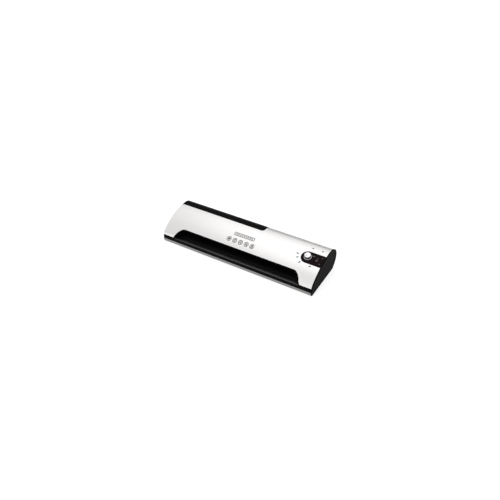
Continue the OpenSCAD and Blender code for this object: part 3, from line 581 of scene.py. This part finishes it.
# ---------------------------------------------------------------- end caps
# Charcoal plastic ends. The right one is a thick plate with a raised rim round its face
# and a collar that grips inside the cover. The left one sits just inside the cover's end.
charcoal = surface("charcoal_grain", (0.01, 0.009, 0.0083), (0.006, 0.0056, 0.0052), 0.7 * mm,
                   (0.45, 0.6), 0.4, shine=0.01, patch=0.15)
cap_rim = surface("cap_rim_black", (0.006, 0.0055, 0.005), (0.003, 0.003, 0.003), 0.7 * mm,
                  (0.35, 0.5), 0.15, shine=0.02)
right_cap = side_solid(0, body_end, outline_high.x)
rim_w, rim_depth = 2 * mm, 0.8 * mm
right_cap = combined(right_cap, side_solid(rim_w, outline_high.x - rim_depth, outline_high.x + mm))
collar = combined(side_solid(4.8 * mm, body_end - 5 * mm, body_end + 0.1 * mm),
                  side_solid(6.2 * mm, body_end - 6 * mm, body_end + mm))
right_cap = combined(right_cap, collar, "UNION")
right_piece = shown("right_end_cap", right_cap, [charcoal, cap_rim], "end_cap_right",
                    ease=0.45 * mm, rows=3)
for face in right_piece.data.polygons:
    on_rim = face.center.x > outline_high.x - 0.75 * mm
    if on_rim or abs(face.normal.x) < 0.7 and face.center.x > body_end:
        face.material_index = 1
cap_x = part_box("end_cap_left")[0].x
left_cap = side_solid(2.8 * mm, cap_x, cap_x + wall)
collar = combined(side_solid(4.7 * mm, cap_x + 2.1 * mm, cap_x + 6 * mm),
                  side_solid(6.4 * mm, cap_x + mm, cap_x + 7 * mm))
left_cap = combined(left_cap, collar, "UNION")
shown("left_end_cap", left_cap, charcoal, "end_cap_left", ease=0.4 * mm)

# ---------------------------------------------------------------- control panel
# A dark red-tinted glossy window let into the cover round the selector, with small grey pads printed on it
# and a grey streak beside the selector painted on as a highlight. The selector's collar passes through a
# hole in it.
window_drop = 1 * mm
facia = combined(side_solid(window_drop, left_end, body_end),
                 side_solid(window_drop + 2 * mm, left_end - mm, body_end + mm))
facia = combined(facia, panel_prism(0.2 * mm), "INTERSECT")
collar_r = 4 * mm
facia = combined(facia, rod(knob_foot - knob_up * 8 * mm, knob_foot + knob_up * 4 * mm, collar_r))
wine = surface("wine_window", (0.011, 0.0007, 0.002), (0.002, 0.0006, 0.0007), 22 * mm, (0.06, 0.12),
               shine=0.06, patch=0.0)
shown("control_window", facia, wine, "control_panel", ease=0.2 * mm)

# ---------------------------------------------------------------- printed marks
# Flat marks printed on the skin: a plain framed badge of diamonds, five round signs, four marks round the
# selector, and grey pads on the dark window. One long grey pad just right of the selector is a painted
# highlight, not print. They carry no lettering.
ink = surface("grey_ink", (0.035, 0.035, 0.036), (0.02, 0.02, 0.02), 0.5 * mm, (0.5, 0.6))
ink_depth = 0.1 * mm
ink_sunk = 0.04 * mm
green_ink = surface("green_ink", (0.04, 0.17, 0.11), (0.02, 0.11, 0.07), 0.5 * mm, (0.5, 0.6))
# Grey for the window's printed pads and for the painted highlight streak beside the selector.
window_ink_and_painted_highlight = surface("window_ink_and_painted_highlight", (0.09, 0.085, 0.09), (0.055, 0.05, 0.055), 0.5 * mm, (0.4, 0.5))


def mark(x, y, w, h, r=0.0, turn=0.0, layer=0.0):
    """A small rounded patch at a place in plan, w long and h deep, turned about its middle."""
    corners = [Vector((sx * w / 2, sy * h / 2, 0)) for sx, sy in ((-1, -1), (1, -1), (1, 1), (-1, 1))]
    spin = Matrix.Rotation(turn, 3, "Z")
    middle = Vector((x, y, -ink_sunk))
    return draped(prism([spin @ c + middle for c in corners], (0, 0, ink_depth), [r * 0.99] * 4, 4), layer)


def ring(x, y, r, width):
    """A round outline in plan, printed on the skin."""
    outer = rod((x, y, -ink_sunk), (x, y, ink_depth - ink_sunk), r, 32)
    inner = rod((x, y, -mm), (x, y, mm), r - width, 32)
    return draped(combined(outer, inner), 0)


def draped(bm, layer):
    """Lays a flat shape in plan on the skin, or on a layer below it."""
    for v in bm.verts:
        v.co.z += skin_z(v.co.y, layer)
    return bm


badge_x, badge_y = left_end + 220 * mm, front + 56.5 * mm
badge_w, diamond, diamond_pitch = 59 * mm, 3.3 * mm, 5.6 * mm
badge = [mark(badge_x, badge_y + side * 3.8 * mm, badge_w, 1.7 * mm, 0.5 * mm) for side in (-1, 1)]
badge += [mark(badge_x + side * 28.7 * mm, badge_y, 1.6 * mm, 5.6 * mm, 0.3 * mm) for side in (-1, 1)]
badge += [mark(badge_x + diamond_pitch * i, badge_y, diamond, diamond, 0.3 * mm, math.radians(45))
          for i in range(-4, 5)]
shown("plain_badge", gathered(badge), ink, None, ease=0)
sign_x, sign_y, sign_pitch = left_end + 185 * mm, front + 38.5 * mm, 16.8 * mm
sign_r, sign_ring = 6.2 * mm, 1.4 * mm
signs = []
figures = (((0, 0, 5.4, 5.4, 45),),
           ((0, 1.9, 6.4, 2.1, 0), (0, -1.9, 6.4, 2.1, 0)),
           ((0, 0, 8, 2, 40), (-2.4, 2.4, 2.4, 2.4, 0), (2.4, -2.4, 2.4, 2.4, 0)),
           ((0, 0, 8, 2, 45), (1.95, -1.95, 3, 2, -45), (-1.95, 1.95, 3, 2, -45)),
           ((0, 1.2, 5.4, 3.6, 0), (0, -2.6, 6.4, 1.8, 0)))
for i, figure in enumerate(figures):
    x = sign_x + sign_pitch * i
    signs += [ring(x, sign_y, sign_r, sign_ring)]
    signs += [mark(x + dx * mm, sign_y + dy * mm, w * mm, h * mm, 0.3 * mm, math.radians(turn))
              for dx, dy, w, h, turn in figure]
shown("instruction_signs", gathered(signs), ink, None, ease=0)
tick_l, tick_w = 6 * mm, 2.8 * mm
ticks = [mark(left_end + x * mm, front + y * mm, tick_l, tick_w, 0.8 * mm, math.radians(a))
         for x, y, a in ((368, 62, 0), (372, 52, 30), (383, 42, 60), (411, 40, 10))]
shown("selector_marks", gathered(ticks), green_ink, None, ease=0)
# The first entry, the long pad just right of the selector, is a painted highlight; the others are printed
# pads.
pads_and_highlight_streak = [mark(left_end + x * mm, front + y * mm, w * mm, h * mm, 0.9 * mm, 0, window_drop)
        for x, y, w, h in ((407, 69, 9, 2.2), (419, 60, 5, 4), (419.4, 66.5, 3, 2.2), (429, 53.4, 3, 2.2),
                           (429.8, 71, 3, 2.2))]
shown("window_pads_and_highlight_streak", gathered(pads_and_highlight_streak), window_ink_and_painted_highlight, None, ease=0)

# ---------------------------------------------------------------- selector knob
# A silver plated knob: a fluted grip on a thin round skirt, pressed on the switch's spindle, with a metal
# disc let into its top and an inked groove as its pointer. The disc is coloured near-white and partly matt,
# lighter than the grip: a painted highlight on the knob's top.


def turned_shape(profile, sides):
    """A round solid spun from a side line of radius and height pairs, in millimetres."""
    bm = bmesh.new()
    line = [bm.verts.new((r * mm, 0, z * mm)) for r, z in profile]
    for a, b in zip(line, line[1:]):
        bm.edges.new((a, b))
    if profile[0][0] > 0:
        bm.edges.new((line[-1], line[0]))
    bmesh.ops.spin(bm, geom=bm.verts[:] + bm.edges[:], cent=(0, 0, 0), axis=(0, 0, 1),
                   angle=math.tau, steps=sides, use_merge=True)
    return bm


seat = Matrix.Translation(knob_foot) @ Vector((0, 0, 1)).rotation_difference(knob_up).to_matrix().to_4x4()
grip = turned_shape([(3, -0.6), (10, -0.6), (10, 0.4), (9.4, 1.0), (8.6, 1.1), (8.5, 2.0), (8.5, 2.6),
                     (8.5, 5), (8.5, 7.4), (8.1, 7.9), (7.5, 8.0), (7.5, 7.0), (3, 7.0)], 108)
flutes, flute_depth = 18, 0.065
for v in grip.verts:
    r = Vector(v.co[:2]).length
    if r > 8 * mm and v.co.z > 2.3 * mm:
        wave = 0.5 + 0.5 * math.cos(flutes * math.atan2(v.co.y, v.co.x))
        shrink = 1 - flute_depth * wave ** 3
        v.co.x *= shrink
        v.co.y *= shrink
bmesh.ops.transform(grip, matrix=seat, verts=grip.verts)
plated = surface("plated_silver", (0.55, 0.52, 0.53), (0.42, 0.4, 0.41), 0.3 * mm, (0.18, 0.28), 0.03,
                 metal=0.95)
shown("knob_grip", grip, plated, "selector_knob", "selector", ease=0)
disc = turned_shape([(0, 7.02), (7.45, 7.02), (7.45, 7.8), (7.3, 7.95), (6.9, 8.0), (0, 8.0)], 72)
bmesh.ops.remove_doubles(disc, verts=disc.verts, dist=0.001 * mm)
groove = block((2 * mm, -0.6 * mm, 7.6 * mm), (7 * mm, 0.6 * mm, 9 * mm))
pointer_turn = Matrix.Rotation(math.radians(240), 3, "Z")
bmesh.ops.rotate(groove, cent=(0, 0, 0), matrix=pointer_turn, verts=groove.verts)
disc = combined(disc, groove)
bmesh.ops.transform(disc, matrix=seat, verts=disc.verts)
# The disc's near-white, partly matt colour paints the highlight on the knob's top.
disc_painted_highlight = surface("disc_painted_highlight_finish", (0.93, 0.92, 0.92), (0.88, 0.87, 0.87), 0.25 * mm, (0.2, 0.3), 0.03,
                 metal=0.7)
disc_piece = shown("knob_disc", disc, [disc_painted_highlight, ink], "knob_cap", "selector", ease=0.1 * mm)
for face in disc_piece.data.polygons:
    spot = seat.inverted() @ face.center
    if 7.2 * mm < spot.z < 7.85 * mm and spot.xy.length < 7.1 * mm:
        face.material_index = 1

# ---------------------------------------------------------------- indicator lenses
# Two small domed lenses pushed up through the cover from inside, dark until they are
# lit: a red one for power and a green one that says the rollers are hot.
for name, spot, light, dark, slot in (
        ("power_light", light_spots[0], (0.03, 0.004, 0.004), (0.016, 0.002, 0.002), "power_lens"),
        ("ready_light", light_spots[1], (0.01, 0.018, 0.012), (0.005, 0.01, 0.006), "ready_lens")):
    lens = turned_shape([(0, -4.0), (2.8, -4.0), (2.8, -2.8), (2.0, -2.8), (2.0, -0.35), (1.85, -0.1),
                         (1.4, 0.1), (0.7, 0.18), (0, 0.2)], 32)
    stand = Matrix.Translation(spot) @ Matrix.Rotation(light_lean, 4, "X")
    bmesh.ops.transform(lens, matrix=stand, verts=lens.verts)
    tint = surface(slot + "_plastic", light, dark, 1.2 * mm, (0.12, 0.2), shine=0.2)
    shown(name + "_lens", lens, tint, name, ease=0)

# ---------------------------------------------------------------- feet
# Four rubber pads, each with a rounded rim and a shallow dish, glued in the base's cups.
rubber_pads = []
for x, y in foot_spots:
    pad = turned_shape([(0, 0.4), (3, 0.4), (3.6, 0), (6.3, 0), (6.8, 0.25), (7, 0.8), (7, 2), (5, 2),
                        (5, 2.9), (0, 2.9)], 40)
    bmesh.ops.translate(pad, vec=(x, y, feet_low.z), verts=pad.verts)
    rubber_pads.append(pad)
rubber = surface("black_rubber", (0.03, 0.03, 0.03), (0.018, 0.018, 0.018), 0.9 * mm, (0.7, 0.85), 0.4)
shown("rubber_feet", gathered(rubber_pads), rubber, "feet", ease=0)

# ---------------------------------------------------------------- chassis
# Two zinc plated steel plates, tied by three rods, carry the rollers. Bronze bushes hold
# the lower shafts, and sprung blocks press the upper shafts down on them.


def dressed(nodes, material):
    """Gives shaped pieces that stay as they are their real finish."""
    for name in nodes:
        frame["nodes"][name].material_slots[0].material = material


zinc = surface("zinc_sheet", (0.62, 0.64, 0.68), (0.42, 0.45, 0.5), 9 * mm, (0.28, 0.5), 0.05, metal=1.0)
dressed(["side_plate_left", "side_plate_right", "motor_bracket", "heat_shield"], zinc)
turned = surface("turned_steel", (0.7, 0.7, 0.7), (0.5, 0.5, 0.51), 0.4 * mm, (0.16, 0.3), 0.1, metal=1.0,
                 stretch=(6, 1, 1))
dressed(["hot_shaft_lower", "hot_shaft_upper", "exit_shaft_lower", "exit_shaft_upper", "tie_rods",
         "idler_pin", "motor_shaft", "bracket_posts", "switch_spindle"], turned)
bronze = surface("sintered_bronze", (0.5, 0.33, 0.14), (0.36, 0.22, 0.09), 0.4 * mm, (0.35, 0.5), 0.3,
                 metal=1.0)
dressed(["lower_bushes"], bronze)
acetal = surface("natural_acetal", (0.78, 0.73, 0.62), (0.68, 0.63, 0.52), 2.5 * mm, (0.3, 0.45), 0.05)
dressed(["upper_bearings"], acetal)
spring_wire = surface("spring_wire", (0.6, 0.6, 0.6), (0.4, 0.4, 0.4), 0.3 * mm, (0.2, 0.35), 0.1, metal=1.0)
dressed(["pressure_springs"], spring_wire)
screw_steel = surface("screw_steel", (0.3, 0.3, 0.31), (0.18, 0.18, 0.185), 0.5 * mm, (0.3, 0.45), 0.1,
                      metal=1.0)
dressed(["cover_screws", "chassis_screws"], screw_steel)
guide_steel = surface("guide_sheet", (0.66, 0.66, 0.66), (0.5, 0.5, 0.5), 0.5 * mm, (0.25, 0.4), 0.05,
                      metal=1.0, stretch=(0.2, 1, 1))
dressed(["guide_plate_lower", "guide_plate_upper"], guide_steel)

# ---------------------------------------------------------------- rollers and gears
# Moulded silicone sleeves bonded on steel shafts: red on the hot pair, grey on the exit
# pair. White acetal gears on the left ends mesh through an idler with the motor's pinion.
red_silicone = surface("red_silicone", (0.36, 0.06, 0.03), (0.25, 0.035, 0.02), 1.5 * mm, (0.5, 0.65), 0.1)
dressed(["hot_sleeve_lower", "hot_sleeve_upper"], red_silicone)
grey_silicone = surface("grey_silicone", (0.11, 0.11, 0.11), (0.07, 0.07, 0.07), 1.5 * mm, (0.5, 0.65), 0.1)
dressed(["exit_sleeve_lower", "exit_sleeve_upper"], grey_silicone)
gear_white = surface("gear_acetal", (0.82, 0.81, 0.76), (0.74, 0.73, 0.67), 1.8 * mm, (0.3, 0.42), 0.05)
dressed(["hot_gear_lower", "hot_gear_upper", "exit_gear_lower", "exit_gear_upper", "idler_gear",
         "motor_pinion"], gear_white)

# ---------------------------------------------------------------- motor
# A flat synchronous motor: a pressed steel gearbox with a passivated can behind it.
pressed = surface("pressed_steel", (0.6, 0.6, 0.58), (0.45, 0.45, 0.43), 5 * mm, (0.25, 0.4), 0.05,
                  metal=1.0)
dressed(["motor_gearbox"], pressed)
passivated = surface("passivated_can", (0.55, 0.48, 0.25), (0.42, 0.4, 0.28), 7 * mm, (0.25, 0.45), 0.05,
                     metal=1.0)
dressed(["motor_can"], passivated)

# ---------------------------------------------------------------- heating
# Extruded aluminium shoes hug the hot rollers. A mica wrapped element lies on each, and
# a thermostat and a fuse in a ceramic tube watch the upper one.
cast = surface("extruded_aluminium", (0.68, 0.69, 0.7), (0.56, 0.57, 0.58), 0.6 * mm, (0.3, 0.45), 0.15,
               metal=1.0, stretch=(0.1, 1, 1))
dressed(["heater_shoe_lower", "heater_shoe_upper"], cast)
mica = surface("mica_wrap", (0.42, 0.32, 0.18), (0.28, 0.2, 0.1), 3 * mm, (0.35, 0.6), 0.2)
dressed(["heating_element_lower", "heating_element_upper"], mica)
bakelite = surface("dark_bakelite", (0.05, 0.035, 0.028), (0.03, 0.02, 0.016), 0.8 * mm, (0.3, 0.4), 0.1)
dressed(["thermostat", "selector_switch"], bakelite)
ceramic = surface("white_ceramic", (0.8, 0.79, 0.75), (0.7, 0.69, 0.65), 0.8 * mm, (0.4, 0.55), 0.1)
dressed(["thermal_fuse"], ceramic)

# ---------------------------------------------------------------- boards and wiring
# A green board carries the switch and lamps under the panel, and a brown one the supply.
# Sheathed leads join the inlet's pins, the board and the motor.
green_board = surface("solder_mask", (0.02, 0.12, 0.045), (0.012, 0.08, 0.03), 1.2 * mm, (0.25, 0.4), 0.15,
                      coat=0.2)
dressed(["control_board"], green_board)
brown_board = surface("phenolic_board", (0.35, 0.2, 0.09), (0.25, 0.14, 0.06), 1.5 * mm, (0.4, 0.55), 0.1)
dressed(["power_board"], brown_board)
wrapped = surface("component_sleeve", (0.04, 0.1, 0.28), (0.02, 0.06, 0.18), 1.2 * mm, (0.25, 0.4), 0.05)
dressed(["power_parts"], wrapped)
clear_led = surface("clear_resin", (0.75, 0.78, 0.74), (0.62, 0.66, 0.62), 1 * mm, (0.08, 0.15))
dressed(["indicator_leds"], clear_led)
sheath = surface("lead_sheath", (0.09, 0.05, 0.035), (0.05, 0.03, 0.02), 1 * mm, (0.4, 0.55), 0.1)
dressed(["mains_leads"], sheath)
motor_sheath = surface("motor_lead_sheath", (0.03, 0.035, 0.12), (0.015, 0.02, 0.07), 1 * mm,
                       (0.4, 0.55), 0.1)
dressed(["motor_leads"], motor_sheath)

# ---------------------------------------------------------------- mains inlet
# A black moulded two pin inlet that clips into the rear panel: a figure of eight cavity
# round two brass pins, with a flange behind the panel.
inlet = bmesh.new()
inlet.from_mesh(frame["nodes"]["mains_inlet"].data)
bmesh.ops.remove_doubles(inlet, verts=inlet.verts, dist=0.001 * mm)
bmesh.ops.dissolve_limit(inlet, angle_limit=math.radians(0.5), verts=inlet.verts, edges=inlet.edges)
inlet_black = surface("inlet_nylon", (0.02, 0.02, 0.02), (0.012, 0.012, 0.012), 0.6 * mm, (0.35, 0.5), 0.3,
                      shine=0.3)
shown("inlet_socket", inlet, inlet_black, "mains_inlet", ease=0.35 * mm)
brass = surface("pin_brass", (0.72, 0.6, 0.36), (0.58, 0.47, 0.27), 0.8 * mm, (0.18, 0.3), 0.05, metal=1.0)
dressed(["inlet_pins"], brass)
